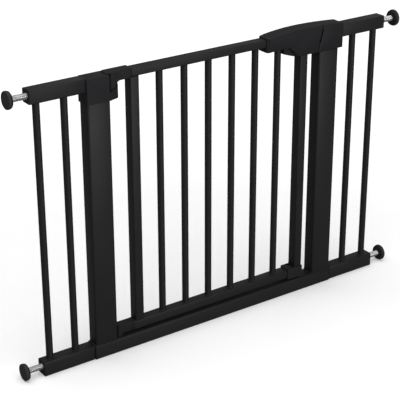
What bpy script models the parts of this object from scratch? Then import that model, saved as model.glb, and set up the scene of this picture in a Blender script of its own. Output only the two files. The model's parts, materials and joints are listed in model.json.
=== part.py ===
"""Pressure-fit safety baby gate: a welded frame with two side panels, a swinging door and four wall spindles.

Metres, +Z up. X runs across the doorway, -Y is the front, and the gate stands on Z = 0.
"""

import math

import bmesh
import bpy

# Fits
GAP = 0.0003  # between pieces that touch
RUNNING = 0.00005  # radial clearance of a pin that turns
SEAM = 0.0005  # between the door handle and the latch head
SLEEVE = 0.0006  # between a plug and the tube that it fills

# Overall
HEIGHT = 0.730  # top of every top rail
PANEL_SPAN = 1.045  # over the outer ends of the two side panels
PAD_REACH = 0.0515  # rail end to wall
STRETCH = PANEL_SPAN / 1.045  # the doorway keeps its share of the span

# Tubes
TUBE_WALL = 0.0010
BAR_RADIUS = 0.0087
BAR_PITCH = 0.07085 * STRETCH
RAIL_DEPTH = 0.034
RAIL_HEIGHT = 0.034
RAIL_CORNER = 0.004
BASE_DEPTH = 0.040
BASE_HEIGHT = 0.038
POST_WIDTH = 0.0624
POST_DEPTH = 0.0412
POST_CORNER = 0.005
POST_CROWN = 0.0028
POST_WALL = 0.0012

# Doorway between the posts
HINGE_X = -0.3037 * STRETCH
HINGE_TO_POST = 0.0125
LEAF_WIDTH = 0.5745 * STRETCH  # hinge axis to the outer side of the latch stile
LATCH_GAP = 0.0345  # latch stile to latch post
BASE_LEFT_OVERHANG = 0.0026
BASE_RIGHT_OVERHANG = 0.0003
BASE_JOINT = 0.0035  # open joint between the base rail and a panel rail
PANEL_BAR_INSET = 0.023
JOINER_LENGTH = 0.032

# Door leaf
DOOR_DEPTH = 0.028
DOOR_CORNER = 0.003
DOOR_FLOAT = 0.0071  # base rail to door
DOOR_BOTTOM_HEIGHT = 0.0237
DOOR_TOP_HEIGHT = 0.0200
STILE_WIDTH = 0.024
HINGE_STILE_OFFSET = 0.0565  # hinge axis to the middle of the hinge stile
DOOR_BARS = 6
SHOE_HALF = DOOR_DEPTH / 2 + 0.003
SHOE_LENGTH = 0.0495
SHOE_WALL = 0.0014
SHOE_FLOAT = 0.0035  # base rail to shoe
SHOE_RISE = 0.0037  # shoe above the door's bottom rail
KEEPER_LEFT = 0.013  # of the latch stile's middle
KEEPER_RIGHT = 0.011
KEEPER_HALF = 0.008

# Hinges
PIN_RADIUS = 0.004
LEG_HALF = 0.0088
LEG_CORNER = 0.003
LEG_DEPTH = DOOR_DEPTH - 0.002
LOWER_LEG_HALF = 0.0080
LOWER_LEG_CORNER = 0.0055
LEG_DROP = 0.043  # rail top down to the foot of the upper leg
PLATE = 0.0032
PLATE_RISE = 0.0025
PLATE_REACH = 0.0205
UPPER_ARM = 0.0482
LOWER_ARM = 0.0387
FILLET = 0.009
CUP_CLEARANCE = 0.0004
CUP_WALL = 0.0012
CUP_FLOOR = 0.003  # below the foot of the upper leg
CAP_HEIGHT = 0.062
CAP_TOP_DROP = 0.001
CAP_PROUD = 0.001
CAP_EDGE = 0.0025
RIM_LOW = 0.0185
RIM_SLOPE = 0.433
STUB = 0.027
BUSH_WALL = 0.003

# Handle, latch head and bolt
LEAF_END = HINGE_X + LEAF_WIDTH
HANDLE_HALF = DOOR_DEPTH / 2 + 0.008
HANDLE_WALL = 0.0024
HANDLE_LEFT = LEAF_END - 0.1348
HANDLE_PEAK = LEAF_END - 0.0208
HANDLE_RIGHT = LEAF_END + 0.1082
HANDLE_BOTTOM = HEIGHT - 0.059
HANDLE_TOP = HEIGHT + 0.012
HANDLE_LEFT_DROP = 0.0092
HANDLE_RIGHT_DROP = 0.0062
HANDLE_TAPER = 0.008
ARCH_TOP = HEIGHT - 0.0311  # underside of the handle above the fingers
SHELL_EDGE = 0.0035
SEAM_FOOT = LEAF_END + 0.0277
SEAM_KNEE = LEAF_END + 0.0312
SEAM_HEAD = LEAF_END + 0.0402
KNEE_Z = HEIGHT - 0.035
SLIT_TOP = HEIGHT
SLIT_WIDTH = 0.0025
LEVER_X = LEAF_END - 0.0718
LEVER_Z = HEIGHT - 0.028
LEVER_HALF = 0.012
LEVER_HUB = 0.0052
LEVER_PIN = 0.002
BOLT_LOW = HEIGHT - 0.030
BOLT_HIGH = HEIGHT - 0.017
BOLT_HALF = 0.005
BOLT_REACH = 0.0022
BOLT_ROOT = 0.0092  # leaf end to the back of the bolt
BAR_INNER = DOOR_DEPTH / 2 + 0.003
BAR_OUTER = BAR_INNER + 0.0022
SCREW_BORE = 0.0018
SCREW_SEAT = 0.0030
SEAT_DEPTH = 0.0025

# Wall spindles
SPINDLE_RADIUS = 0.00775
SPINDLE_LENGTH = 0.106
SPINDLE_Z_TOP = HEIGHT - 0.0168
SPINDLE_Z_BOTTOM = 0.0215
INSERT_LENGTH = 0.025
PAD_RADIUS = 0.0215
PAD_DISC = 0.0080
HUB_DEPTH = 0.0055
SPINDLE_PLAY = 0.0001


# ---------------------------------------------------------------- outlines


def rectangle(low_u, high_u, low_v, high_v, radius=0.0, crown=0.0, arc=3):
    """A rectangle with rounded corners, its two u sides bowed out by crown, anticlockwise."""
    corners = (
        (high_u - radius, high_v - radius, 0),
        (low_u + radius, high_v - radius, 90),
        (low_u + radius, low_v + radius, 180),
        (high_u - radius, low_v + radius, 270),
    )
    if radius == 0:
        return [(u, v) for u, v, _ in corners]
    points = []
    for index, (cu, cv, start) in enumerate(corners):
        for step in range(arc + 1):
            angle = math.radians(start + 90 * step / arc)
            points.append((cu + radius * math.cos(angle), cv + radius * math.sin(angle)))
        if crown and index in (0, 2):
            end_u = corners[index + 1][0]
            side_v = points[-1][1]
            points += [(cu + (end_u - cu) * step / 6, side_v) for step in range(1, 6)]
    if not crown:
        return points
    mid_u, half_u = (low_u + high_u) / 2, (high_u - low_u) / 2
    mid_v = (low_v + high_v) / 2
    return [(u, v + math.copysign(crown * (1 - ((u - mid_u) / half_u) ** 2), v - mid_v)) for u, v in points]


def circle(cu, cv, radius, sides=24):
    turns = [2 * math.pi * step / sides for step in range(sides)]
    return [(cu + radius * math.cos(turn), cv + radius * math.sin(turn)) for turn in turns]


def inset(outline, distance):
    """The anticlockwise outline moved inwards, corner by corner."""
    moved = []
    for index, (u, v) in enumerate(outline):
        before = outline[index - 1]
        after = outline[(index + 1) % len(outline)]
        behind = math.atan2(v - before[1], u - before[0])
        bend = math.remainder(math.atan2(after[1] - v, after[0] - u) - behind, 2 * math.pi)
        reach = distance / max(0.3, math.cos(bend / 2))
        turn = behind + bend / 2
        moved.append((u - reach * math.sin(turn), v + reach * math.cos(turn)))
    return moved


# ---------------------------------------------------------------- solids


def place(axis, along, u, v):
    if axis == "X":
        return (along, u, v)
    if axis == "Y":
        return (u, along, v)
    return (u, v, along)


def skin(mesh, axis, layers, closed=False):
    """Side faces through outlines of one point count."""
    rings = [[mesh.verts.new(place(axis, along, u, v)) for u, v in outline] for along, outline in layers]
    following = rings[1:] + rings[:1] if closed else rings[1:]
    for first, second in zip(rings, following):
        for index in range(len(first)):
            onward = (index + 1) % len(first)
            mesh.faces.new((first[index], first[onward], second[onward], second[index]))
    return rings


def body(name, mesh):
    bmesh.ops.recalc_face_normals(mesh, faces=mesh.faces)
    data = bpy.data.meshes.new(name)
    mesh.to_mesh(data)
    mesh.free()
    data.shade_smooth()
    data.set_sharp_from_angle(angle=math.radians(35))
    made = bpy.data.objects.new(name, data)
    bpy.context.scene.collection.objects.link(made)
    return made


def solid(name, axis, layers):
    mesh = bmesh.new()
    rings = skin(mesh, axis, layers)
    mesh.faces.new(rings[0])
    mesh.faces.new(rings[-1])
    return body(name, mesh)


def pipe(name, axis, low, high, outer, inner):
    mesh = bmesh.new()
    skin(mesh, axis, [(low, outer), (high, outer), (high, inner), (low, inner)], closed=True)
    return body(name, mesh)


def turned(name, axis, cu, cv, profile, bored=False):
    """A lathe shape from (radius, along) points; a bored one closes on itself."""
    mesh = bmesh.new()
    rings = skin(mesh, axis, [(along, circle(cu, cv, radius)) for radius, along in profile], closed=bored)
    if not bored:
        mesh.faces.new(rings[0])
        mesh.faces.new(rings[-1])
    return body(name, mesh)


def box(name, low, high):
    return solid(name, "Z", [(z, rectangle(low[0], high[0], low[1], high[1])) for z in (low[2], high[2])])


def combine(target, tool, operation):
    modifier = target.modifiers.new(tool.name, "BOOLEAN")
    modifier.operation = operation
    modifier.object = tool
    tool.hide_render = True
    tool.display_type = "WIRE"


def cut(target, tool):
    combine(target, tool, "DIFFERENCE")


def join(target, tool):
    combine(target, tool, "UNION")


# ---------------------------------------------------------------- finish


def principled(name, colour, roughness, metallic):
    made = bpy.data.materials.new(name)
    made.use_nodes = True
    shader = made.node_tree.nodes["Principled BSDF"]
    shader.inputs["Base Color"].default_value = (*colour, 1)
    shader.inputs["Roughness"].default_value = roughness
    shader.inputs["Metallic"].default_value = metallic
    return made


FINISHES = {
    "painted_steel": ((0.018, 0.018, 0.019), 0.45, 0.0),
    "black_plastic": ((0.020, 0.020, 0.022), 0.50, 0.0),
    "pad_rubber": ((0.030, 0.030, 0.032), 0.75, 0.0),
    "zinc_steel": ((0.46, 0.46, 0.47), 0.35, 1.0),
}


def finish(piece, slot, origin=(0, 0, 0)):
    """Gives the piece its own material, and its origin on the axis that it moves about."""
    piece.data.materials.append(principled(piece.name, *FINISHES[slot]))
    for vertex in piece.data.vertices:
        vertex.co = [value - start for value, start in zip(vertex.co, origin)]
    piece.location = origin
    return piece


# ---------------------------------------------------------------- worked-out places

POST_FACE_LEFT = HINGE_X - HINGE_TO_POST
POST_LEFT = POST_FACE_LEFT - POST_WIDTH / 2
POST_FACE_RIGHT = LEAF_END + LATCH_GAP
POST_RIGHT = POST_FACE_RIGHT + POST_WIDTH / 2
BASE_LEFT = POST_LEFT - POST_WIDTH / 2 - BASE_LEFT_OVERHANG
BASE_RIGHT = POST_RIGHT + POST_WIDTH / 2 + BASE_RIGHT_OVERHANG
PANEL_END = PANEL_SPAN / 2
HINGE_STILE = HINGE_X + HINGE_STILE_OFFSET
LATCH_STILE = LEAF_END - STILE_WIDTH / 2
DOOR_BOTTOM = BASE_HEIGHT + DOOR_FLOAT
DOOR_BOTTOM_TOP = DOOR_BOTTOM + DOOR_BOTTOM_HEIGHT
DOOR_TOP_LOW = HEIGHT - DOOR_TOP_HEIGHT
UPPER_SEAM = HINGE_X + UPPER_ARM
LOWER_SEAM = HINGE_X + LOWER_ARM
LEG_FOOT = HEIGHT - LEG_DROP
CAP_TOP = HEIGHT - CAP_TOP_DROP
CAP_BOTTOM = CAP_TOP - CAP_HEIGHT
CAP_LEFT = POST_LEFT - POST_WIDTH / 2 - CAP_PROUD - GAP
CAP_RIGHT = POST_FACE_LEFT - 2 * CAP_PROUD
CUP_BORE = math.hypot(LEG_HALF - LEG_CORNER, LEG_DEPTH / 2 - LEG_CORNER) + LEG_CORNER + CUP_CLEARANCE
HINGE_AXIS = (HINGE_X, 0, 0)
SHOE_LOW = BASE_HEIGHT + SHOE_FLOAT
SHOE_HIGH = DOOR_BOTTOM_TOP + SHOE_RISE
SHOE_END = LEAF_END + GAP + SHOE_WALL


def rail_outline(depth, low, high, corner, shrink=0.0):
    half = depth / 2 - shrink
    return rectangle(-half, half, low + shrink, high - shrink, max(corner - shrink, 0.001))


def rail(name, low, high, depth, bottom, top, corner=RAIL_CORNER):
    outer = rail_outline(depth, bottom, top, corner)
    inner = rail_outline(depth, bottom, top, corner, TUBE_WALL)
    return pipe(name, "X", low, high, outer, inner)


def upright_bar(name, x, low, high):
    outer = circle(x, 0, BAR_RADIUS)
    return pipe(name, "Z", low + GAP, high - GAP, outer, circle(x, 0, BAR_RADIUS - TUBE_WALL))


def post_outline(x, shrink=0.0):
    half_u = POST_WIDTH / 2 - shrink
    half_v = POST_DEPTH / 2 - POST_CROWN - shrink
    corner = max(POST_CORNER - shrink, 0.001)
    return rectangle(x - half_u, x + half_u, -half_v, half_v, corner, POST_CROWN)


# ---------------------------------------------------------------- frame


def post(name, x, top):
    made = pipe(name, "Z", BASE_HEIGHT + GAP, top, post_outline(x), post_outline(x, POST_WALL))
    finish(made, "painted_steel")


def base_rail():
    made = rail("frame_bottom_rail", BASE_LEFT, BASE_RIGHT, BASE_DEPTH, 0, BASE_HEIGHT)
    radius = PIN_RADIUS + BUSH_WALL + GAP
    levels = (BASE_HEIGHT - 2 * TUBE_WALL, BASE_HEIGHT + TUBE_WALL)
    cut(made, turned("bush_hole", "Z", HINGE_X, 0, [(radius, z) for z in levels]))
    finish(made, "painted_steel")


def hinge_bush():
    """The sleeve in the base rail that the lower pin turns in."""
    outer = PIN_RADIUS + BUSH_WALL
    bore = PIN_RADIUS + RUNNING
    low = TUBE_WALL + GAP
    profile = [(outer, low), (outer, BASE_HEIGHT), (bore, BASE_HEIGHT), (bore, low)]
    finish(turned("bottom_hinge_bush", "Z", HINGE_X, 0, profile, bored=True), "black_plastic")


def panel(side, name):
    """One side panel: two rails and two bars. side is -1 on the left and 1 on the right."""
    top_inner = CAP_LEFT - 0.0005 if side < 0 else HANDLE_RIGHT + 0.003
    bottom_inner = BASE_LEFT - BASE_JOINT if side < 0 else BASE_RIGHT + BASE_JOINT
    outer = side * PANEL_END
    for level, inner, low, high in (
        ("top", top_inner, HEIGHT - RAIL_HEIGHT, HEIGHT),
        ("bottom", bottom_inner, 0, BASE_HEIGHT),
    ):
        ends = sorted((inner, outer))
        finish(rail(f"{name}_panel_{level}_rail", *ends, RAIL_DEPTH, low, high), "painted_steel")
    for index in range(2):
        x = outer - side * (PANEL_BAR_INSET + index * BAR_PITCH)
        made = upright_bar(f"{name}_panel_bar_{index + 1}", x, BASE_HEIGHT, HEIGHT - RAIL_HEIGHT)
        finish(made, "painted_steel")
    joiner(f"{name}_top_joiner", side, top_inner, HEIGHT - RAIL_HEIGHT, HEIGHT, 0)
    joiner(f"{name}_bottom_joiner", side, bottom_inner, 0, BASE_HEIGHT, JOINER_LENGTH)


def joiner(name, side, inner, low, high, beyond):
    """The plug that ties a panel rail to the frame, inside both of them."""
    ends = sorted((inner - side * beyond, inner + side * JOINER_LENGTH))
    outline = rail_outline(RAIL_DEPTH, low, high, RAIL_CORNER, TUBE_WALL + SLEEVE)
    hollow = rail_outline(RAIL_DEPTH, low, high, RAIL_CORNER, TUBE_WALL + SLEEVE + 0.003)
    finish(pipe(name, "X", *ends, outline, hollow), "black_plastic")


# ---------------------------------------------------------------- hinge side


def cap_nose():
    """The cup round the upper leg: the cap's two corners drawn in to a round nose, with a slanted rim."""
    radius = CUP_BORE + CUP_WALL
    half = POST_DEPTH / 2 + CAP_PROUD
    back = CAP_RIGHT - HINGE_X
    reach = math.atan2(half, back) - math.acos(radius / math.hypot(back, half))
    arc = [-reach + 2 * reach * step / 16 for step in range(17)]
    outline = [(CAP_RIGHT - 0.02, -half), (CAP_RIGHT, -half)]
    outline += [(HINGE_X + radius * math.cos(turn), radius * math.sin(turn)) for turn in arc]
    outline += [(CAP_RIGHT, half), (CAP_RIGHT - 0.02, half)]
    mesh = bmesh.new()
    low = [mesh.verts.new((u, v, CAP_BOTTOM)) for u, v in outline]
    rim = [CAP_BOTTOM + RIM_LOW + RIM_SLOPE * (u - CAP_RIGHT) for u, v in outline]
    high = [mesh.verts.new((u, v, z)) for (u, v), z in zip(outline, rim)]
    for index in range(len(low)):
        onward = (index + 1) % len(low)
        mesh.faces.new((low[index], low[onward], high[onward], high[index]))
    mesh.faces.new(low)
    mesh.faces.new(high)
    return body("cap_nose", mesh)


def hinge_cap():
    half = POST_DEPTH / 2 + CAP_PROUD

    def outline(shrink):
        return rectangle(CAP_LEFT + shrink, CAP_RIGHT - shrink, shrink - half, half - shrink, 0.003)

    layers = [(CAP_BOTTOM, outline(0)), (CAP_TOP - CAP_EDGE, outline(0))]
    layers += [(CAP_TOP - CAP_EDGE / 4, outline(CAP_EDGE / 3)), (CAP_TOP, outline(CAP_EDGE))]
    made = solid("hinge_cap", "Z", layers)
    join(made, cap_nose())
    stub = post_outline(POST_LEFT, POST_WALL + SLEEVE)
    join(made, solid("cap_stub", "Z", [(z, stub) for z in (CAP_BOTTOM - STUB, CAP_BOTTOM + 0.001)]))
    pocket = post_outline(POST_LEFT, POST_WALL + SLEEVE + 0.003)
    levels = (CAP_BOTTOM - STUB - 0.001, CAP_TOP - 2 * CAP_EDGE)
    cut(made, solid("cap_pocket", "Z", [(z, pocket) for z in levels]))
    floor = LEG_FOOT - CUP_FLOOR
    cut(made, turned("cap_cup", "Z", HINGE_X, 0, [(CUP_BORE, floor), (CUP_BORE, HEIGHT + 0.01)]))
    bore = PIN_RADIUS + RUNNING
    cut(made, turned("cap_bore", "Z", HINGE_X, 0, [(bore, CAP_BOTTOM - 0.001), (bore, floor + 0.001)]))
    finish(made, "black_plastic")


def elbow_arm(name, outline):
    half = DOOR_DEPTH / 2
    edge = 0.0012
    layers = [(-half, inset(outline, edge)), (edge - half, outline), (half - edge, outline)]
    return solid(name, "Y", layers + [(half, inset(outline, edge))])


def elbow_leg(name, half_u, half_v, corner, low, high):
    leg = rectangle(HINGE_X - half_u, HINGE_X + half_u, -half_v, half_v, corner)
    return solid(name, "Z", [(low, leg), (high, leg)])


def rail_plug(name, seam, low, high, length):
    """The tongue of an elbow inside its rail."""
    outline = rail_outline(DOOR_DEPTH, low, high, DOOR_CORNER, TUBE_WALL + SLEEVE)
    return solid(name, "X", [(seam - 0.004, outline), (seam + length, outline)])


def pin_socket(name, low, high):
    return turned(name, "Z", HINGE_X, 0, [(PIN_RADIUS + RUNNING, low), (PIN_RADIUS + RUNNING, high)])


def upper_elbow():
    """The bracket on the door's top corner: a leg that drops into the cup, an arm and a cover plate."""
    right = HINGE_X + LEG_HALF
    arm_low = DOOR_TOP_LOW - 0.0019
    over_stile = HINGE_STILE - STILE_WIDTH / 2 - GAP
    top = HEIGHT + PLATE_RISE
    outline = [(right - 0.004, arm_low - FILLET), (right, arm_low - FILLET)]
    for step in range(1, 5):
        turn = math.radians(90 * step / 4)
        outline.append((right + FILLET * (1 - math.cos(turn)), arm_low - FILLET * (1 - math.sin(turn))))
    outline += [(over_stile, arm_low), (over_stile, DOOR_TOP_LOW + GAP), (UPPER_SEAM, DOOR_TOP_LOW + GAP)]
    outline += [(UPPER_SEAM, top), (right - 0.004, top)]
    made = elbow_arm("upper_hinge_elbow", outline)
    join(made, elbow_leg("upper_leg", LEG_HALF, LEG_DEPTH / 2, LEG_CORNER, LEG_FOOT, top - PLATE / 2))
    half = DOOR_DEPTH / 2

    def plate(shrink):
        left = HINGE_X - PLATE_REACH + 2 * shrink
        return rectangle(left, right + shrink, shrink - half, half - shrink, 0.003)

    layers = [(top - PLATE, plate(0)), (top - 0.7 * PLATE, plate(0)), (top, plate(0.0012))]
    join(made, solid("upper_plate", "Z", layers))
    join(made, rail_plug("upper_plug", UPPER_SEAM, DOOR_TOP_LOW, HEIGHT, 0.025))
    cut(made, pin_socket("upper_socket", LEG_FOOT - 0.001, HEIGHT - 0.0097))
    finish(made, "black_plastic", HINGE_AXIS)


def lower_elbow():
    """The bracket on the door's bottom corner, over the bush, narrow enough to swing past the post."""
    left = HINGE_X - LOWER_LEG_HALF
    top = DOOR_BOTTOM_TOP + 0.0007
    half = HINGE_TO_POST - 0.0009
    edge = 0.001

    def arm(shrink):
        return rectangle(shrink - half, half - shrink, DOOR_BOTTOM, top - shrink, 0.002)

    layers = [(HINGE_X, arm(0)), (LOWER_SEAM - edge, arm(0)), (LOWER_SEAM, arm(edge))]
    made = solid("lower_hinge_elbow", "X", layers)
    leg = (LOWER_LEG_HALF, half, LOWER_LEG_CORNER)
    join(made, elbow_leg("lower_leg", *leg, BASE_HEIGHT + 0.0004, top - edge / 2))
    outline = rectangle(left, HINGE_X + 0.001, edge - half, half - edge, LOWER_LEG_CORNER - edge)
    join(made, solid("lower_top", "Z", [(top - 0.004, outline), (top, outline)]))
    join(made, rail_plug("lower_plug", LOWER_SEAM, DOOR_BOTTOM, DOOR_BOTTOM_TOP, 0.028))
    cut(made, pin_socket("lower_socket", BASE_HEIGHT - 0.001, DOOR_BOTTOM_TOP - 0.006))
    finish(made, "black_plastic", HINGE_AXIS)


def hinge_pins():
    for name, low, high in (
        ("upper_hinge_pin", CAP_BOTTOM + 0.0005, HEIGHT - 0.010),
        ("lower_hinge_pin", 0.010, DOOR_BOTTOM_TOP - 0.0065),
    ):
        edge = 0.0006
        profile = [(PIN_RADIUS - edge, low), (PIN_RADIUS, low + edge), (PIN_RADIUS, high)]
        finish(turned(name, "Z", HINGE_X, 0, profile), "zinc_steel", HINGE_AXIS)


# ---------------------------------------------------------------- door leaf


def door_rail(name, seam, low, high):
    finish(rail(name, seam + GAP, LEAF_END, DOOR_DEPTH, low, high, DOOR_CORNER), "painted_steel", HINGE_AXIS)


def door_stile(name, x):
    outlines = []
    for shrink in (0, TUBE_WALL):
        half_u = STILE_WIDTH / 2 - shrink
        half_v = DOOR_DEPTH / 2 - shrink
        outlines.append(rectangle(x - half_u, x + half_u, -half_v, half_v, DOOR_CORNER - shrink))
    finish(pipe(name, "Z", DOOR_BOTTOM_TOP + GAP, DOOR_TOP_LOW - GAP, *outlines), "painted_steel", HINGE_AXIS)


def door_leaf():
    door_rail("door_bottom_rail", LOWER_SEAM, DOOR_BOTTOM, DOOR_BOTTOM_TOP)
    door_rail("door_top_rail", UPPER_SEAM, DOOR_TOP_LOW, HEIGHT)
    door_stile("door_hinge_stile", HINGE_STILE)
    door_stile("door_latch_stile", LATCH_STILE)
    for index in range(DOOR_BARS):
        made = upright_bar(f"door_bar_{index + 1}", door_bar_x(index), DOOR_BOTTOM_TOP, DOOR_TOP_LOW)
        finish(made, "painted_steel", HINGE_AXIS)


def door_bar_x(index):
    return (HINGE_STILE + LATCH_STILE) / 2 + (index - (DOOR_BARS - 1) / 2) * BAR_PITCH


def door_shoe():
    """The catch block round the foot of the latch stile and the end of the door's bottom rail."""
    start = SHOE_END - SHOE_LENGTH

    def outline(shrink):
        return rectangle(start + shrink, SHOE_END - shrink, shrink - SHOE_HALF, SHOE_HALF - shrink, 0.002)

    edge = 0.0008
    layers = [(SHOE_LOW, outline(edge)), (SHOE_LOW + edge, outline(0))]
    layers += [(SHOE_HIGH - edge, outline(0)), (SHOE_HIGH, outline(edge))]
    made = solid("door_bottom_shoe", "Z", layers)
    half = DOOR_DEPTH / 2 + GAP
    end = LEAF_END + GAP
    low, high = DOOR_BOTTOM - GAP, DOOR_BOTTOM_TOP + GAP
    cut(made, box("shoe_channel", (start - 0.02, -half, low), (end, half, high)))
    foot = LATCH_STILE - STILE_WIDTH / 2 - GAP
    cut(made, box("shoe_foot", (foot, -half, DOOR_BOTTOM_TOP - 0.001), (end, half, SHOE_HIGH + 0.01)))
    finish(made, "black_plastic", HINGE_AXIS)


def keeper():
    """The low block on the base rail that the shoe closes over."""
    left, right = LATCH_STILE - KEEPER_LEFT, LATCH_STILE + KEEPER_RIGHT
    outline = rectangle(left, right, -KEEPER_HALF, KEEPER_HALF, 0.002)
    layers = [(z, outline) for z in (BASE_HEIGHT + GAP, SHOE_LOW - GAP)]
    finish(solid("bottom_keeper", "Z", layers), "black_plastic")


# ---------------------------------------------------------------- handle and latch head


def handle_top(x):
    """Height of the handle's long crown, which drops to each end from one peak."""
    if x < HANDLE_PEAK:
        return HANDLE_TOP - HANDLE_LEFT_DROP * ((HANDLE_PEAK - x) / (HANDLE_PEAK - HANDLE_LEFT)) ** 2
    return HANDLE_TOP - HANDLE_RIGHT_DROP * ((x - HANDLE_PEAK) / (HANDLE_RIGHT - HANDLE_PEAK)) ** 2


def crown(start, end, steps):
    """Points of the crown from start to end."""
    stops = [start + (end - start) * step / steps for step in range(steps + 1)]
    return [(x, handle_top(x)) for x in stops]


def seam_head():
    """Where the leaning seam leaves the top of the handle."""
    slope = (SEAM_HEAD - SEAM_KNEE) / (SLIT_TOP - KNEE_Z)
    return SEAM_KNEE + slope * (HANDLE_TOP - 0.0015 - KNEE_Z)


def seam_x(z):
    return SEAM_KNEE + (SEAM_HEAD - SEAM_KNEE) * (z - KNEE_Z) / (SLIT_TOP - KNEE_Z)


def finger_arch():
    """The handle's lower edge, rising in an S from the stile to a brow and dipping at the left end."""
    foot, brow = LATCH_STILE - 0.0205, HANDLE_LEFT + 0.062
    rise = ARCH_TOP - HANDLE_BOTTOM
    points = []
    for step in range(9):
        share = step / 8
        lift = rise * (0.5 - 0.5 * math.cos(math.pi * share)) ** 0.85
        points.append((foot + (brow - foot) * share, HANDLE_BOTTOM + lift))
    return [(HANDLE_LEFT, ARCH_TOP - 0.002)] + points[::-1]


def handle_outline():
    points = finger_arch()
    points += [(SEAM_FOOT, HANDLE_BOTTOM), (SEAM_KNEE, KNEE_Z), (SEAM_HEAD, SLIT_TOP)]
    return points + crown(seam_head(), HANDLE_LEFT, 10)


def tapered(outline, y):
    """Draws the left end in where the handle is deepest, so that its corner is chamfered in plan."""
    start = HANDLE_HALF - 0.006
    limit = HANDLE_LEFT + HANDLE_TAPER * max(0, abs(y) - start) / (HANDLE_HALF - start)
    return [(max(x, limit), z) for x, z in outline]


def rounded_layers(outline, ends, edge):
    """Layers from the flat end at ends[1] to the rounded face at ends[0]."""
    face, flat = ends
    side = math.copysign(1, face - flat)
    layers = []
    for share in (0.0, 0.3, 0.62, 1.0):
        y = face - side * edge * share
        shrink = edge * (1 - math.sqrt(1 - (1 - share) ** 2))
        layers.append((y, tapered(inset(outline, shrink), y)))
    middle = math.copysign(HANDLE_HALF - 0.006, face)
    layers.append((middle, tapered(outline, middle)))
    return layers + [(flat, outline)]


def handle_rooms():
    """Boxes cleared inside the handle, each a name and two corners."""
    half = DOOR_DEPTH / 2 + GAP
    end = LEAF_END + GAP
    stile = LEAF_END - STILE_WIDTH - GAP
    lever = LEVER_HALF + 2 * GAP
    bolt = BOLT_HALF + GAP
    foot = HANDLE_BOTTOM - 0.01
    return (
        ("rail", (HANDLE_LEFT - 0.01, -half, DOOR_TOP_LOW - GAP), (end, half, HEIGHT + GAP)),
        ("stile", (stile, -half, foot), (end, half, HANDLE_BOTTOM + 0.01)),
        ("lever", (LEVER_X - 0.006, -lever, foot), (LEVER_X + 0.044, lever, LEVER_Z + 0.002)),
        ("bolt", (SEAM_FOOT - 0.01, -bolt, BOLT_LOW - GAP), (SEAM_HEAD + 0.01, bolt, BOLT_HIGH + GAP)),
    )


def handle_shell(name, side):
    """One half of the handle, side -1 in front and 1 behind, hollowed round the rail, stile and latch."""
    outline = handle_outline()
    made = solid(name, "Y", rounded_layers(outline, (side * HANDLE_HALF, side * GAP / 2), SHELL_EDGE))
    inner = side * (HANDLE_HALF - HANDLE_WALL)
    start = HANDLE_LEFT + HANDLE_TAPER + HANDLE_WALL
    hollow = [(max(x, start), z) for x, z in inset(outline, HANDLE_WALL)]
    cut(made, solid(f"{name}_hollow", "Y", [(y, hollow) for y in sorted((inner, -side * 0.001))]))
    for label, low, high in handle_rooms():
        cut(made, box(f"{name}_{label}", low, high))
    radius = BAR_RADIUS + GAP
    levels = (HANDLE_BOTTOM, DOOR_TOP_LOW)
    cut(made, turned(f"{name}_bar", "Z", door_bar_x(DOOR_BARS - 1), 0, [(radius, z) for z in levels]))
    pin = LEVER_PIN + GAP
    ends = sorted((side * (HANDLE_HALF - 0.0007), 0))
    cut(made, turned(f"{name}_pin", "Y", LEVER_X, LEVER_Z, [(pin, y) for y in ends]))
    screw_bosses(made, name, side)
    finish(made, "black_plastic", HINGE_AXIS)


def screw_places():
    """x, z and boss radius of the two screws, which stand clear of the latch stile and the last bar."""
    beyond_bar = door_bar_x(DOOR_BARS - 1) - 0.0184
    return ((LEAF_END + 0.0152, HEIGHT - 0.005, 0.0040), (beyond_bar, HEIGHT - 0.0233, 0.0031))


def screw_bosses(shell, name, side):
    """Bosses that meet at the split: the front ones take the thread, the rear ones the head."""
    outside = HANDLE_HALF + 0.001
    for index, (x, z, radius) in enumerate(screw_places()):
        ends = sorted((side * GAP / 2, side * (HANDLE_HALF - HANDLE_WALL / 2)))
        join(shell, turned(f"{name}_boss_{index}", "Y", x, z, [(radius, y) for y in ends]))
        ends = sorted((-side * 0.001, side * (outside if side > 0 else 0.014)))
        cut(shell, turned(f"{name}_thread_{index}", "Y", x, z, [(SCREW_BORE, y) for y in ends]))
        if side > 0:
            ends = (HANDLE_HALF - SEAT_DEPTH, outside)
            cut(shell, turned(f"{name}_seat_{index}", "Y", x, z, [(SCREW_SEAT, y) for y in ends]))


def handle_screws():
    shank = SCREW_BORE - GAP
    rim = SCREW_SEAT - 0.0004
    head = HANDLE_HALF - 0.0005
    seat = HANDLE_HALF - SEAT_DEPTH + GAP
    for index, (x, z, _) in enumerate(screw_places()):
        profile = [(shank, -0.012), (shank, seat), (rim, seat), (rim, head - 0.0004), (rim - 0.0006, head)]
        finish(turned(f"handle_screw_{index + 1}", "Y", x, z, profile), "zinc_steel", HINGE_AXIS)


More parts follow.
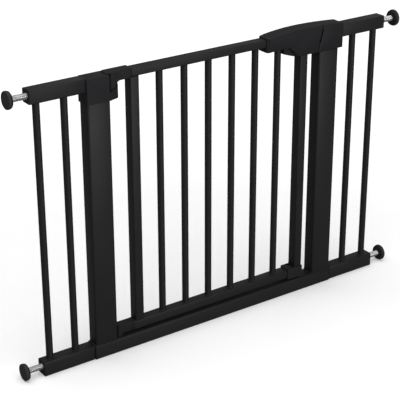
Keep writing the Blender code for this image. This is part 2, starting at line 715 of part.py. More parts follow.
def latch_head():
    """The fixed half of the latch, on the latch post, with the slit that the bolt swings through."""
    foot = (SEAM_FOOT + SEAM, HANDLE_BOTTOM)
    outline = [foot, (HANDLE_RIGHT, HANDLE_BOTTOM)]
    outline += crown(HANDLE_RIGHT, seam_head() + SEAM, 6)
    outline += [(SEAM_HEAD + SEAM, SLIT_TOP), (SEAM_KNEE + SEAM, KNEE_Z)]
    layers = rounded_layers(outline, (-HANDLE_HALF, 0), SHELL_EDGE)[:-1]
    layers += rounded_layers(outline, (HANDLE_HALF, 0), SHELL_EDGE)[-2::-1]
    made = solid("latch_head", "Y", layers)
    stub = post_outline(POST_RIGHT, POST_WALL + SLEEVE)
    join(made, solid("head_stub", "Z", [(z, stub) for z in (HANDLE_BOTTOM - STUB, HANDLE_BOTTOM + 0.001)]))
    pocket = post_outline(POST_RIGHT, POST_WALL + SLEEVE + 0.003)
    levels = (HANDLE_BOTTOM - STUB - 0.001, HEIGHT - 0.003)
    cut(made, solid("head_pocket", "Z", [(z, pocket) for z in levels]))
    slit = [(SEAM_KNEE - 0.004, KNEE_Z), (SEAM_KNEE + SEAM + SLIT_WIDTH, KNEE_Z)]
    slit += [(SEAM_HEAD + SEAM + SLIT_WIDTH, SLIT_TOP), (SEAM_HEAD - 0.004, SLIT_TOP)]
    cut(made, solid("head_slit", "Y", [(-0.03, slit), (0.03, slit)]))
    finish(made, "black_plastic")


def lever_outline():
    """The lever from the side: a belly under the fingers, a back inside the handle and a round hub."""
    belly = [(-LEVER_HUB, -0.0200), (0.013, -0.0262), (0.027, -0.0306), (0.037, -0.0320)]
    back = [(0.037, -0.0190), (0.027, -0.0150), (0.016, -0.0110), (0.009, -0.0070)]
    points = [(LEVER_X + u, LEVER_Z + v) for u, v in belly + back]
    for step in range(9):
        turn = math.pi * step / 8
        points.append((LEVER_X + LEVER_HUB * math.cos(turn), LEVER_Z + LEVER_HUB * math.sin(turn)))
    return points


def release_lever():
    """The squeeze lever in the finger arch, on a cross pin, with an ear behind that draws the bolt."""
    x, z = LEVER_X, LEVER_Z
    edge = 0.0008
    half = LEVER_HALF
    outline = lever_outline()
    layers = [(-half, inset(outline, edge)), (edge - half, outline), (half - edge, outline)]
    made = solid("release_lever", "Y", layers + [(half, inset(outline, edge))])
    behind = BAR_INNER - GAP
    flange = ((x + 0.0005, half - 0.002, z + 0.0025), (x + 0.0045, behind, z + 0.0045))
    ear = ((x + 0.0010, behind - 0.0019, z + 0.0020), (x + 0.0110, behind, z + 0.0110))
    join(made, box("lever_flange", *flange))
    join(made, box("lever_ear", *ear))
    bore = LEVER_PIN + RUNNING
    cut(made, turned("lever_bore", "Y", x, z, [(bore, -0.02), (bore, 0.02)]))
    finish(made, "black_plastic", (x, 0, z))


def lever_pin():
    end = HANDLE_HALF - 0.0010
    made = turned("lever_pivot_pin", "Y", LEVER_X, LEVER_Z, [(LEVER_PIN, -end), (LEVER_PIN, end)])
    finish(made, "zinc_steel", HINGE_AXIS)


def latch_bolt():
    """A flat draw bar behind the stile, bent forward to the tongue."""
    start = LEVER_X + 0.0085
    root = LEAF_END + BOLT_ROOT
    heel = root + 0.012

    def outline(z):
        tip = seam_x(z) + BOLT_REACH
        points = [(root, -BOLT_HALF), (tip, -BOLT_HALF), (tip, BOLT_HALF), (heel, BOLT_HALF)]
        return points + [(heel, BAR_OUTER), (start, BAR_OUTER), (start, BAR_INNER), (root, BAR_INNER)]

    made = solid("latch_bolt", "Z", [(z, outline(z)) for z in (BOLT_LOW, BOLT_HIGH)])
    finish(made, "zinc_steel")


def bolt_spring():
    """The coil between the stile and the bolt's heel."""
    wire = 0.0004
    low, high = LEAF_END + GAP + wire, LEAF_END + BOLT_ROOT - GAP - wire
    turns, steps, radius = 4, 12, 0.0032
    curve = bpy.data.curves.new("bolt_spring", "CURVE")
    curve.dimensions = "3D"
    curve.bevel_depth = wire
    curve.bevel_resolution = 1
    curve.use_fill_caps = True
    line = curve.splines.new("POLY")
    line.points.add(turns * steps)
    for index, point in enumerate(line.points):
        turn = 2 * math.pi * index / steps
        x = low + (high - low) * index / (turns * steps)
        z = (BOLT_LOW + BOLT_HIGH) / 2 + radius * math.sin(turn)
        point.co = (x, radius * math.cos(turn), z, 1)
    made = bpy.data.objects.new("bolt_spring", curve)
    bpy.context.scene.collection.objects.link(made)
    curve.materials.append(principled("bolt_spring", *FINISHES["zinc_steel"]))


# ---------------------------------------------------------------- wall spindles


def wall_unit(name, side, z, low, high):
    """A threaded spindle in the panel rail's end, with a hub and a rubber pad against the wall."""
    wall = side * (PANEL_SPAN / 2 + PAD_REACH)
    face = wall - side * PAD_DISC
    hub = face - side * GAP
    back = hub - side * HUB_DEPTH
    bore = SPINDLE_RADIUS + SPINDLE_PLAY
    edge = 0.0008
    rim = PAD_RADIUS
    lip = 0.0012
    pad = [(rim - edge, wall), (rim, wall - side * edge), (rim, face + side * edge), (rim - edge, face)]
    pad_origin = (wall, 0, z)
    finish(turned(f"{name}_pad", "X", 0, z, pad), "pad_rubber", pad_origin)
    hub_profile = [(rim - lip, hub), (rim - 0.002, hub - side * lip)]
    for step in range(1, 5):
        turn = math.radians(90 * step / 4)
        radius = (rim - 0.002) - (rim - 0.0132) * math.sin(turn) ** 1.5
        hub_profile.append((radius, hub - side * (lip + (HUB_DEPTH - lip) * (1 - math.cos(turn)))))
    hub_profile += [(bore, back), (bore, hub)]
    finish(turned(f"{name}_pad_hub", "X", 0, z, hub_profile, bored=True), "black_plastic", pad_origin)
    tip = hub - side * SPINDLE_LENGTH
    end = 0.001
    rod = [(SPINDLE_RADIUS - end, hub), (SPINDLE_RADIUS, hub - side * end)]
    rod += [(SPINDLE_RADIUS, tip + side * end), (SPINDLE_RADIUS - end, tip)]
    finish(turned(f"{name}_spindle", "X", 0, z, rod), "zinc_steel", (wall, 0, z))
    insert(f"{name}_insert", side, z, low, high)


def insert(name, side, z, low, high):
    """The threaded plug in the rail's open end."""
    outer = side * (PANEL_END - GAP)
    inner = side * (PANEL_END - INSERT_LENGTH)
    outline = rail_outline(RAIL_DEPTH, low, high, RAIL_CORNER, TUBE_WALL + GAP)
    made = solid(name, "X", [(outer, outline), (inner, outline)])
    bore = SPINDLE_RADIUS + SPINDLE_PLAY
    reach = (outer + side * 0.001, inner - side * 0.001)
    cut(made, turned(f"{name}_bore", "X", 0, z, [(bore, x) for x in reach]))
    finish(made, "black_plastic")


def wall_units():
    for side, side_name in ((-1, "left"), (1, "right")):
        wall_unit(f"{side_name}_top", side, SPINDLE_Z_TOP, HEIGHT - RAIL_HEIGHT, HEIGHT)
        wall_unit(f"{side_name}_bottom", side, SPINDLE_Z_BOTTOM, 0, BASE_HEIGHT)


def build():
    for item in list(bpy.data.objects):
        bpy.data.objects.remove(item, do_unlink=True)
    post("left_post", POST_LEFT, CAP_BOTTOM - GAP)
    post("right_post", POST_RIGHT, HANDLE_BOTTOM - GAP)
    base_rail()
    hinge_bush()
    panel(-1, "left")
    panel(1, "right")
    hinge_cap()
    latch_head()
    keeper()
    hinge_pins()
    upper_elbow()
    lower_elbow()
    door_leaf()
    door_shoe()
    handle_shell("handle_front_shell", -1)
    handle_shell("handle_rear_shell", 1)
    handle_screws()
    release_lever()
    lever_pin()
    latch_bolt()
    bolt_spring()
    wall_units()


build()
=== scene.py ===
# %% [markdown]
# # Safety baby gate
# The gate is a welded steel frame held between two walls by four screw spindles. A door leaf hangs in the
# frame on two pins, and a squeeze handle at the far top corner lets it go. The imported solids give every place
# and size; the cells below give each piece its fine shape and its finish.

import json
import math

import bmesh
import bpy
from mathutils import Matrix, Quaternion, Vector


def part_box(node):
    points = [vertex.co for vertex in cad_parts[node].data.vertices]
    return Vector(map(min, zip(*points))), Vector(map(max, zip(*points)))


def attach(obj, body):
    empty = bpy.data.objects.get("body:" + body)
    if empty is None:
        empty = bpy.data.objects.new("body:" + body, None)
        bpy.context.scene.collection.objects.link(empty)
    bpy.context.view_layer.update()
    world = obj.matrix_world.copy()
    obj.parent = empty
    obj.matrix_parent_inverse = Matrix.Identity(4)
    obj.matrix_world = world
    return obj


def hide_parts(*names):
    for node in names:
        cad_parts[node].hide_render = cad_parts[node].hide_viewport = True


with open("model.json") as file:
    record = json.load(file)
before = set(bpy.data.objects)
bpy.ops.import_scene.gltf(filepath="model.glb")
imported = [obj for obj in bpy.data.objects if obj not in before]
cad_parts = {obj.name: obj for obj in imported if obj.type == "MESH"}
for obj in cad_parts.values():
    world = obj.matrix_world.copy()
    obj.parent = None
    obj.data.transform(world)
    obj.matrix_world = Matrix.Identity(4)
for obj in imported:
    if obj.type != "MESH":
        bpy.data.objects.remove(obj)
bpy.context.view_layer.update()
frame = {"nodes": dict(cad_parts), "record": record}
nodes = frame["nodes"]
body_of_node = {node: body for body, held in frame["record"]["behaviour"]["bodies"].items() for node in held}
slot_of_node = {part["node"]: part["material_slot"] for part in frame["record"]["subparts"]}

# %% [markdown]
# ## Shader sums
# A finish is mostly arithmetic on noise. The class below wraps a socket, so that a sum written in Python adds
# the Math nodes for it, and one method adds any other node with its settings and inputs.


# %% Sockets that can be added and multiplied
class Wire:
    """A socket in a material, with arithmetic."""

    def __init__(self, finish, socket):
        self.finish = finish
        self.socket = socket

    def math(self, operation, first, second):
        return self.finish.node("ShaderNodeMath", {"operation": operation}, {0: first, 1: second})

    def __add__(self, other):
        return self.math("ADD", self, other)

    def __sub__(self, other):
        return self.math("SUBTRACT", self, other)

    def __rsub__(self, other):
        return self.math("SUBTRACT", other, self)

    def __mul__(self, other):
        return self.math("MULTIPLY", self, other)

    __radd__ = __add__
    __rmul__ = __mul__


class Finish:
    """A material under construction."""

    def __init__(self, name):
        self.material = bpy.data.materials.new(name)
        self.material.use_nodes = True
        self.tree = self.material.node_tree
        self.shader = self.tree.nodes["Principled BSDF"]

    def node(self, kind, settings=None, inputs=None, output=0):
        made = self.tree.nodes.new(kind)
        for key, value in (settings or {}).items():
            setattr(made, key, value)
        for key, value in (inputs or {}).items():
            self.feed(made.inputs[key], value)
        return Wire(self, made.outputs[output])

    def feed(self, socket, value):
        if isinstance(value, Wire):
            self.tree.links.new(value.socket, socket)
        else:
            socket.default_value = value

    def place(self):
        """Object coordinates, in metres."""
        return self.node("ShaderNodeTexCoord", output="Object")

    def noise(self, scale, detail=2.0, roughness=0.5, vector=None):
        inputs = {"Vector": vector or self.place(), "Scale": scale, "Detail": detail, "Roughness": roughness}
        return self.node("ShaderNodeTexNoise", inputs=inputs, output="Fac")

    def tint(self, share, dark, light):
        inputs = {0: share, 6: (*dark, 1), 7: (*light, 1)}
        return self.node("ShaderNodeMix", {"data_type": "RGBA"}, inputs, output=2)

    def bump(self, height, distance, strength=1.0, under=None):
        inputs = {"Height": height, "Distance": distance, "Strength": strength}
        if under:
            inputs["Normal"] = under
        return self.node("ShaderNodeBump", inputs=inputs)

    def surface(self, **inputs):
        for key, value in inputs.items():
            self.feed(self.shader.inputs[key.replace("_", " ")], value)
        return self.material


# %% [markdown]
# ## Finishes
# Powder coat is sprayed on as dust and melts into a satin skin with a faint orange peel. The mouldings are a
# little bluer and have a fine spark-eroded grain. The pads are matt rubber, and the spindles are bright zinc
# with a cloudy chromate. All of them vary slightly, so that no surface is one flat colour.


# %% Powder coat
def powder_coat():
    finish = Finish("satin_powder_coat")
    cloud = finish.noise(14.0, 3.0)
    peel = finish.noise(520.0, 1.0)
    speck = finish.noise(2600.0, 1.0)
    colour = finish.tint(cloud, (0.0085, 0.0085, 0.0087), (0.0110, 0.0110, 0.0112))
    normal = finish.bump(speck, 0.00002, under=finish.bump(peel, 0.00006))
    roughness = 0.42 + 0.10 * cloud + 0.04 * peel
    return finish.surface(Base_Color=colour, Roughness=roughness, Normal=normal, Specular_IOR_Level=0.14)


# %% Moulded plastic
def moulded_plastic():
    finish = Finish("grained_black_plastic")
    cloud = finish.noise(22.0, 2.0)
    grain = finish.noise(1900.0, 2.0, 0.65)
    colour = finish.tint(cloud, (0.0080, 0.0081, 0.0092), (0.0100, 0.0101, 0.0114))
    roughness = 0.54 + 0.08 * cloud + 0.06 * grain
    normal = finish.bump(grain, 0.00005)
    return finish.surface(Base_Color=colour, Roughness=roughness, Normal=normal, Specular_IOR_Level=0.12)


# %% Pad rubber
def pad_rubber():
    finish = Finish("matt_pad_rubber")
    cloud = finish.noise(60.0, 3.0)
    grain = finish.noise(1400.0, 2.0, 0.7)
    colour = finish.tint(cloud, (0.016, 0.016, 0.017), (0.026, 0.026, 0.027))
    roughness = 0.66 + 0.12 * grain
    normal = finish.bump(grain, 0.00006)
    return finish.surface(Base_Color=colour, Roughness=roughness, Normal=normal, Specular_IOR_Level=0.15)


# %% Zinc plate
def zinc_plate():
    finish = Finish("bright_zinc_plate")
    cloud = finish.noise(90.0, 3.0, 0.6)
    scratch = finish.noise(3000.0, 2.0, 0.7)
    colour = finish.tint(cloud, (0.36, 0.36, 0.37), (0.55, 0.55, 0.555))
    roughness = 0.24 + 0.16 * cloud + 0.05 * scratch
    normal = finish.bump(scratch, 0.00001)
    return finish.surface(Base_Color=colour, Roughness=roughness, Metallic=1.0, Normal=normal)


finishes = {
    "painted_steel": powder_coat(),
    "black_plastic": moulded_plastic(),
    "pad_rubber": pad_rubber(),
    "zinc_steel": zinc_plate(),
}
for name, node in nodes.items():
    node.data.materials.clear()
    node.data.materials.append(finishes[slot_of_node[name]])
print("finishes:", ", ".join(finishes))

# %% [markdown]
# ## Putting a piece in
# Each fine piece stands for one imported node: it takes over that node's body, slot and finish. The sharp angle
# keeps the corners crisp and lets the round parts shade smoothly, without a modifier for it.


# %% A piece from a bmesh
def piece_from(mesh, name, body, slot, sharp=35):
    data = bpy.data.meshes.new(name)
    bmesh.ops.recalc_face_normals(mesh, faces=mesh.faces)
    mesh.to_mesh(data)
    mesh.free()
    data.shade_smooth()
    data.set_sharp_from_angle(angle=math.radians(sharp))
    data.materials.append(finishes[slot])
    piece = bpy.data.objects.new(name, data)
    bpy.context.scene.collection.objects.link(piece)
    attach(piece, body)
    return piece


def stand_for(mesh, node, sharp=35):
    """The piece takes the node's place, name and finish."""
    piece = piece_from(mesh, f"fine_{node}", body_of_node[node], slot_of_node[node], sharp)
    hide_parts(node)
    return piece


# %% [markdown]
# ## Tubes
# The rails and stiles are rectangular steel tube, rolled with round corners. A section is drawn as one face,
# its corners are bevelled, an inset leaves the wall, and the ring is extruded along the tube. Extruding the
# ring closes both cut ends, which a Solidify on an open sleeve would leave to chance.

# %% Tube walls
TUBE_WALL = 0.0011
POST_WALL = 0.0013
CUT_EDGE = 0.00035
CROWN_CUTS = 9
AXES = {"X": Vector((1, 0, 0)), "Y": Vector((0, 1, 0)), "Z": Vector((0, 0, 1))}


def section(width, height, corner, crown=0.0):
    """A flat rounded rectangle in the XY plane, its two long sides bowed out by crown."""
    mesh = bmesh.new()
    bmesh.ops.create_grid(mesh, x_segments=1, y_segments=1, size=0.5)
    bmesh.ops.scale(mesh, vec=(width, height, 1), verts=mesh.verts)
    if crown:
        long_sides = [edge for edge in mesh.edges if abs(edge.verts[0].co.y - edge.verts[1].co.y) < 1e-6]
        bmesh.ops.subdivide_edges(mesh, edges=long_sides, cuts=CROWN_CUTS)
        for vert in mesh.verts:
            vert.co.y += math.copysign(crown * (1 - (2 * vert.co.x / width) ** 2), vert.co.y)
    corners = [vert for vert in mesh.verts if abs(abs(vert.co.x) - width / 2) < 1e-6]
    bmesh.ops.bevel(
        mesh, geom=corners, offset=corner, affect="VERTICES", segments=6, profile=0.5, material=-1
    )
    return mesh


def run_along(mesh, wall, axis, low, high, centre):
    """Leaves the section's wall, extrudes it from low to high along axis, and eases the cut edges."""
    made = bmesh.ops.inset_region(
        mesh, faces=mesh.faces, thickness=wall, use_boundary=True, use_even_offset=True
    )
    rim = set(made["faces"])
    bmesh.ops.delete(mesh, geom=[face for face in mesh.faces if face not in rim], context="FACES")
    made = bmesh.ops.extrude_face_region(mesh, geom=mesh.faces[:])
    lifted = [item for item in made["geom"] if isinstance(item, bmesh.types.BMVert)]
    bmesh.ops.translate(mesh, vec=(0, 0, high - low), verts=lifted)
    bmesh.ops.recalc_face_normals(mesh, faces=mesh.faces)
    ends = [edge for edge in mesh.edges if abs(edge.verts[0].co.z - edge.verts[1].co.z) < 1e-7]
    rims = [edge for edge in ends if edge.calc_face_angle(0) > math.radians(60)]
    bmesh.ops.bevel(
        mesh,
        geom=rims,
        offset=CUT_EDGE,
        affect="EDGES",
        segments=2,
        profile=0.5,
        material=-1,
        clamp_overlap=True,
    )
    if axis == "X":
        bmesh.ops.transform(mesh, matrix=Matrix(((0, 0, 1), (1, 0, 0), (0, 1, 0))).to_4x4(), verts=mesh.verts)
    bmesh.ops.translate(mesh, vec=centre + AXES[axis] * low, verts=mesh.verts)
    return mesh


# %% Rails
RAIL_CORNER = 0.004
DOOR_CORNER = 0.003
RAIL_CORNERS = {"door_top_rail": DOOR_CORNER, "door_bottom_rail": DOOR_CORNER}
rails = [name for name in nodes if name.endswith("_rail")]
for name in rails:
    low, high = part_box(name)
    size = high - low
    mesh = section(size.y, size.z, RAIL_CORNERS.get(name, RAIL_CORNER))
    centre = Vector((0, (low.y + high.y) / 2, (low.z + high.z) / 2))
    stand_for(run_along(mesh, TUBE_WALL, "X", low.x, high.x, centre), name)
print("rails:", len(rails))

# %% Stiles and posts
POST_CORNER, POST_CROWN = 0.005, 0.0028
uprights = {name: (DOOR_CORNER, 0.0) for name in ("door_hinge_stile", "door_latch_stile")}
uprights |= {name: (POST_CORNER, POST_CROWN) for name in ("left_post", "right_post")}
for name, (corner, crown) in uprights.items():
    low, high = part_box(name)
    size = high - low
    mesh = section(size.x, size.y - 2 * crown, corner, crown)
    centre = Vector(((low.x + high.x) / 2, 0, 0))
    wall = POST_WALL if crown else TUBE_WALL
    stand_for(run_along(mesh, wall, "Z", low.z, high.z, centre), name)
print("uprights:", len(uprights))

# %% [markdown]
# ## Round bars
# Ten bars of round tube stand between the rails. Each is the wall's small rectangle spun once about the bar's
# middle. A spin of a full turn needs use_merge, or the seam stays open.

# %% Bars
BAR_SIDES = 64


def spun(profile, centre, axis, sides=BAR_SIDES, ring=True):
    """(radius, along) points turned once about a line through centre: a ring, or a lathe shape with poles."""
    mesh = bmesh.new()
    side = AXES["Y"] if axis == "X" else AXES["X"]
    verts = [mesh.verts.new(centre + side * radius + AXES[axis] * along) for radius, along in profile]
    first = 0 if ring else 1
    edges = [mesh.edges.new((verts[index - 1], verts[index])) for index in range(first, len(verts))]
    bmesh.ops.spin(
        mesh, geom=verts + edges, cent=centre, axis=AXES[axis], angle=2 * math.pi, steps=sides, use_merge=True
    )
    bmesh.ops.remove_doubles(mesh, verts=mesh.verts, dist=1e-6)
    return mesh


bars = [name for name in nodes if "_bar_" in name]
for name in bars:
    low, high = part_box(name)
    radius = (high.x - low.x) / 2
    centre = Vector(((low.x + high.x) / 2, 0, 0))
    inner = radius - TUBE_WALL
    profile = [(radius, low.z), (radius, high.z), (inner, high.z), (inner, low.z)]
    stand_for(spun(profile, centre, "Z"), name)
print("bars:", len(bars))


# %% [markdown]
# ## Mouldings
# The elbows, the hinge cap, the latch head, the shoe, the handle and the lever are injection mouldings.
# They could be drawn again from nothing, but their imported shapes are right. Each piece starts as a merged
# copy, and every edge that a mould would round gets a small bevel.


# %% Eased copies
def eased_copy(node, edge, segments=3, sharp=32):
    mesh = bmesh.new()
    mesh.from_mesh(nodes[node].data)
    bmesh.ops.remove_doubles(mesh, verts=mesh.verts, dist=2e-6)
    bmesh.ops.dissolve_limit(mesh, angle_limit=math.radians(0.5), verts=mesh.verts, edges=mesh.edges)
    piece = stand_for(mesh, node, sharp)
    bevel = piece.modifiers.new("eased edges", "BEVEL")
    bevel.width = edge
    bevel.segments = segments
    bevel.limit_method = "ANGLE"
    bevel.angle_limit = math.radians(sharp)
    bevel.harden_normals = True
    return piece


MOULDED_EDGES = {
    "upper_hinge_elbow": 0.0006,
    "lower_hinge_elbow": 0.0006,
    "hinge_cap": 0.0006,
    "latch_head": 0.0004,
    "door_bottom_shoe": 0.0005,
    "handle_front_shell": 0.0003,
    "handle_rear_shell": 0.0003,
    "release_lever": 0.0005,
    "bottom_keeper": 0.0004,
}
for name, edge in MOULDED_EDGES.items():
    eased_copy(name, edge)
print("mouldings:", len(MOULDED_EDGES))

# %% [markdown]
# ## Spindles
# Each spindle is a bar with a rolled thread of 4 mm pitch. A fine cylinder is made first, and each of its
# vertices is moved in or out by the thread's profile at that turn and distance, so the helix runs right up to
# the ends and the skin stays closed.

# %% Threads
PITCH = 0.004
THREAD_DEPTH = 0.0013
CREST, FLANK = 0.22, 0.5  # of half a pitch
LEAD_IN = 0.0012
RING_STEP = 0.0005
ROD_SIDES = 40


def thread_drop(share):
    """How deep the thread is at a share of one pitch: crest, flank, root, flank."""
    ramp = abs(2 * share - 1)
    return THREAD_DEPTH * min(1.0, max(0.0, (ramp - CREST) / FLANK))


def threaded(node):
    low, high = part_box(node)
    centre = (low + high) / 2
    radius, length = (high.z - low.z) / 2, high.x - low.x
    rings = int(length / RING_STEP)
    mesh = bmesh.new()
    bmesh.ops.create_circle(mesh, cap_ends=True, radius=radius, segments=ROD_SIDES)
    base = mesh.faces[:]
    made = bmesh.ops.extrude_face_region(mesh, geom=base)
    lifted = [item for item in made["geom"] if isinstance(item, bmesh.types.BMVert)]
    bmesh.ops.translate(mesh, vec=(0, 0, length), verts=lifted)
    long_edges = [edge for edge in mesh.edges if abs(edge.verts[0].co.z - edge.verts[1].co.z) > length / 2]
    bmesh.ops.subdivide_edges(mesh, edges=long_edges, cuts=rings - 1, use_grid_fill=True)
    for vert in mesh.verts:
        turn = math.atan2(vert.co.y, vert.co.x) / (2 * math.pi)
        end = min(vert.co.z, length - vert.co.z)
        lead = max(0.0, LEAD_IN - end)
        drop = max(thread_drop((vert.co.z / PITCH - turn) % 1.0), lead)
        vert.co.xy *= (radius - drop) / radius
    bmesh.ops.transform(mesh, matrix=Matrix.Rotation(math.pi / 2, 4, "Y"), verts=mesh.verts)
    bmesh.ops.translate(mesh, vec=(low.x, centre.y, centre.z), verts=mesh.verts)
    return stand_for(mesh, node, 50)


spindles = [name for name in nodes if name.endswith("_spindle")]
for name in spindles:
    threaded(name)
print("spindles:", len(spindles))

# %% [markdown]
# ## Pads
# A wall pad is a rubber disc with round edges, held by a plastic hub that draws in to the spindle. A
# bevelled cylinder would do for the disc, but not for the groove in its face or the hub's waist. Half of
# each outline is drawn as points and spun once instead.

# %% Rubber discs and hubs
PAD_EDGE = 0.0024
GROOVE_PLACE, GROOVE_DEPTH = 0.72, 0.0006
COLLAR_WALL = 0.0028
SPINDLE_BORE = 0.00785


def arc_points(centre, radius, start, end, steps=6):
    turns = [math.radians(start + (end - start) * step / steps) for step in range(steps + 1)]
    return [(centre[0] + radius * math.cos(turn), centre[1] + radius * math.sin(turn)) for turn in turns]


def rubber_disc(node):
    low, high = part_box(node)
    radius = (high.z - low.z) / 2
    centre = Vector((0, 0, (low.z + high.z) / 2))
    side = math.copysign(1, low.x)
    wall, face = (low.x, high.x) if side < 0 else (high.x, low.x)
    thick = abs(face - wall)
    groove, depth = radius * GROOVE_PLACE, GROOVE_DEPTH
    outer = radius - PAD_EDGE
    depths = [(0, 0), (groove - depth, 0), (groove, depth), (groove + depth, 0)]
    depths += arc_points((outer, PAD_EDGE), PAD_EDGE, -90, 0)
    depths += arc_points((outer, thick - PAD_EDGE), PAD_EDGE, 0, 90) + [(0, thick)]
    profile = [(r, wall - side * deep) for r, deep in depths]
    stand_for(spun(profile, centre, "X", ring=False), node, 40)


def pad_hub(node):
    low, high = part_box(node)
    radius = (high.z - low.z) / 2
    centre = Vector((0, 0, (low.z + high.z) / 2))
    side = math.copysign(1, low.x)
    face, back = (low.x, high.x) if side < 0 else (high.x, low.x)
    bore = SPINDLE_BORE
    depth = abs(back - face)
    collar = bore + COLLAR_WALL
    dome = [
        (collar + (radius - collar) * math.cos(turn) ** 0.8, depth * 0.16 + depth * 0.62 * math.sin(turn))
        for turn in [math.radians(88 * step / 10) for step in range(11)]
    ]
    depths = [(bore, 0), (radius - 0.0006, 0), (radius, 0.0006)] + dome
    depths += [(collar, depth * 0.86), (collar - 0.0005, depth), (bore, depth)]
    profile = [(r, face - side * deep) for r, deep in depths]
    stand_for(spun(profile, centre, "X"), node, 40)


for name in nodes:
    if name.endswith("_pad"):
        rubber_disc(name)
    if name.endswith("_pad_hub"):
        pad_hub(name)
print("pads and hubs done")

# %% [markdown]
# ## Welds
# Bars and posts are welded to the rails. A weld shows as a small fillet round the foot, slightly uneven where
# the bead was laid in steps. A round one is a spun fillet whose outer edge is rippled; a square one is the
# post's own section, drawn larger and pulled in as it rises.

# %% Round welds
WELD = 0.0015
RIPPLE = 0.00012
SINK = 0.0002  # into the rail
ROOT = 0.0004  # into the bar
FIT = 0.0003  # between a bar's end and the rail


def round_weld(centre, radius, foot, up):
    """A rippled fillet from the rail at height foot onto the bar, up or down."""
    inside, under = radius - ROOT, foot - up * SINK
    profile = [(inside, under), (radius + WELD, under)]
    for step in range(5):
        turn = math.radians(90 * step / 4)
        profile.append((radius + WELD * (1 - math.sin(turn)), foot + up * WELD * (1 - math.cos(turn))))
    profile.append((inside, foot + up * WELD))
    mesh = spun(profile, centre, "Z", 72)
    for vert in mesh.verts:
        across = vert.co.xy - centre.xy
        if across.length > radius + SINK:
            turn = math.atan2(across.y, across.x)
            wave = math.sin(17 * turn + 40 * centre.x) + 0.6 * math.sin(9 * turn + 90 * centre.x)
            across *= 1 + RIPPLE * wave / across.length
            vert.co.xy = centre.xy + across
    return mesh


def square_weld(width, depth, corner, crown, centre, foot, up):
    """A fillet round a rectangular foot."""
    mesh = section(width + 2 * WELD, depth + 2 * WELD, corner + WELD, crown)
    made = bmesh.ops.extrude_face_region(mesh, geom=mesh.faces[:])
    lifted = [item for item in made["geom"] if isinstance(item, bmesh.types.BMVert)]
    bmesh.ops.translate(mesh, vec=(0, 0, up * WELD), verts=lifted)
    shrink = (width / (width + 2 * WELD), depth / (depth + 2 * WELD), 1)
    bmesh.ops.scale(mesh, vec=shrink, verts=lifted)
    bmesh.ops.translate(mesh, vec=(centre.x, centre.y, foot - up * SINK), verts=mesh.verts)
    return mesh


def weld_all():
    """One joined weld piece for the frame and one for the door."""
    joined = {"frame": bmesh.new(), "door": bmesh.new()}
    holder = bpy.data.meshes.new("weld holder")

    def add(mesh, body):
        mesh.to_mesh(holder)
        mesh.free()
        joined[body].from_mesh(holder)

    for name in bars:
        low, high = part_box(name)
        centre = Vector(((low.x + high.x) / 2, 0, 0))
        radius = (high.x - low.x) / 2
        add(round_weld(centre, radius, low.z - FIT, 1), body_of_node[name])
        add(round_weld(centre, radius, high.z + FIT, -1), body_of_node[name])
    for name, (corner, crown) in uprights.items():
        low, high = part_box(name)
        size = high - low
        centre = Vector(((low.x + high.x) / 2, 0, 0))
        if crown:
            add(square_weld(size.x, size.y - 2 * crown, corner, crown, centre, low.z - FIT, 1), "frame")
    for body, mesh in joined.items():
        piece_from(mesh, f"{body}_welds", body, "painted_steel", 50)


weld_all()
print("welds done")

# %% [markdown]
# ## Small mouldings and hardware
# The plugs, inserts, pins, screws and the bolt are small or hidden, so modelling them again would show
# nothing new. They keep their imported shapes, with their edges eased a little.

# %% Eased hardware
SMALL_EDGE = 0.0003
SMALL_ENDINGS = ("_joiner", "_insert", "_pin", "_bush", "latch_bolt")
small = [name for name in nodes if name.endswith(SMALL_ENDINGS) or name.startswith("handle_screw")]
for name in small:
    eased_copy(name, SMALL_EDGE, 2, 40)
print("small pieces:", len(small))

# %% [markdown]
# ## Floor, light and camera
# A near-white floor runs out under a white surround. Its far part glows a little, so that it meets the
# surround without a line, and its near part hardly does, so that the gate's soft shadow stays. One large
# soft box hangs over the front of the gate, a low wide one lights its front, and a weak one its left.
# Point lamps would be simpler, but they give hard shadows and small hot spots on the paint.


# %% Floor
FLOOR_HALF = 7
GLOW_START, GLOW_END = 0.8, 2.4
GLOW_NEAR, GLOW_FAR = 0.10, 0.45
# Painted shade: to every ray but the camera's the floor is a dark grey, so the gate's sides and fronts get less
# bounced light and darker reflections than a pale floor would give.
PAINTED_SHADE_FLOOR = (0.30, 0.30, 0.30, 1)  # what the gate sees of the floor


def pale_floor():
    finish = Finish("pale_floor")
    cloud = finish.noise(1.5, 2.0)
    seen = finish.node("ShaderNodeLightPath", output="Is Camera Ray")
    pale = finish.tint(cloud, (0.92, 0.92, 0.92), (0.94, 0.94, 0.94))
    colour = finish.node("ShaderNodeMix", {"data_type": "RGBA"}, {0: seen, 6: PAINTED_SHADE_FLOOR, 7: pale}, output=2)
    place = finish.place()
    distance = finish.node("ShaderNodeVectorMath", {"operation": "LENGTH"}, {0: place}, output="Value")
    span = {"Value": distance, "From Min": GLOW_START, "From Max": GLOW_END}
    span |= {"To Min": GLOW_NEAR, "To Max": GLOW_FAR}
    reach = finish.node("ShaderNodeMapRange", inputs=span, output="Result")
    glow = finish.tint(seen * reach, (0, 0, 0), (1, 1, 1))
    return finish.surface(
        Base_Color=colour,
        Roughness=0.95,
        Specular_IOR_Level=0.0,
        Emission_Color=glow,
        Emission_Strength=1.0,
    )


mesh = bmesh.new()
bmesh.ops.create_grid(mesh, x_segments=1, y_segments=1, size=FLOOR_HALF)
data = bpy.data.meshes.new("floor")
mesh.to_mesh(data)
mesh.free()
data.materials.append(pale_floor())
floor = bpy.data.objects.new("floor", data)
bpy.context.scene.collection.objects.link(floor)
print("floor:", 2 * FLOOR_HALF, "m square")


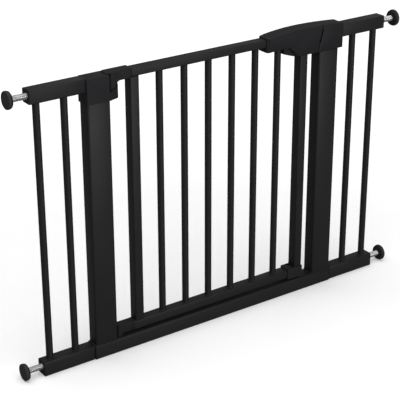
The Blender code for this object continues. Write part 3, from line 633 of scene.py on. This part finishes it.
# %% Lights
def soft_box(name, place, aim, size, power):
    light = bpy.data.lights.new(name, "AREA")
    light.shape = "RECTANGLE"
    light.size, light.size_y = size
    light.energy = power
    lamp = bpy.data.objects.new(name, light)
    lamp.location = place
    lamp.rotation_mode = "QUATERNION"
    lamp.rotation_quaternion = (Vector(aim) - Vector(place)).to_track_quat("-Z", "Y")
    bpy.context.scene.collection.objects.link(lamp)


soft_box("overhead_box", (-0.4, -0.3, 3.4), (-0.3, 0.1, 0.0), (5.0, 5.0), 120)
soft_box("front_fill", (0.9, -5.4, 0.6), (0, 0, 0.35), (3.0, 1.0), 165)
soft_box("side_fill", (-3.4, -3.4, 1.5), (0, 0, 0.35), (2.4, 2.0), 42)

world = bpy.data.worlds.new("white surround")
bpy.context.scene.world = world
world.use_nodes = True
tree = world.node_tree
background = tree.nodes["Background"]
lights = tree.nodes.new("ShaderNodeLightPath")
SURROUND = 0.36
dim = tree.nodes.new("ShaderNodeMapRange")
dim.inputs["To Min"].default_value = SURROUND
dim.inputs["To Max"].default_value = 1.0
tree.links.new(lights.outputs["Is Camera Ray"], dim.inputs["Value"])
tree.links.new(dim.outputs["Result"], background.inputs["Strength"])
background.inputs["Color"].default_value = (1, 1, 1, 1)
bpy.context.scene.view_settings.view_transform = "Standard"
print("lamps:", len(bpy.data.lights), "surround:", SURROUND)

# %% Camera
CAMERA_PLACE = Vector((-1.7473, -2.4318, 1.6567))
AZIMUTH, ELEVATION, ROLL = (math.radians(angle) for angle in (-34.843, 23.904, -0.108))
lens = bpy.data.cameras.new("camera")
lens.lens = 116.08
lens.sensor_width = 36
camera = bpy.data.objects.new("camera", lens)
level = math.cos(ELEVATION)
back = Vector((math.sin(AZIMUTH) * level, -math.cos(AZIMUTH) * level, math.sin(ELEVATION)))
camera.rotation_mode = "QUATERNION"
camera.rotation_quaternion = (-back).to_track_quat("-Z", "Y") @ Quaternion((0, 0, 1), ROLL)
camera.location = CAMERA_PLACE
bpy.context.scene.collection.objects.link(camera)
bpy.context.scene.camera = camera
print("camera:", CAMERA_PLACE, "lens:", lens.lens)
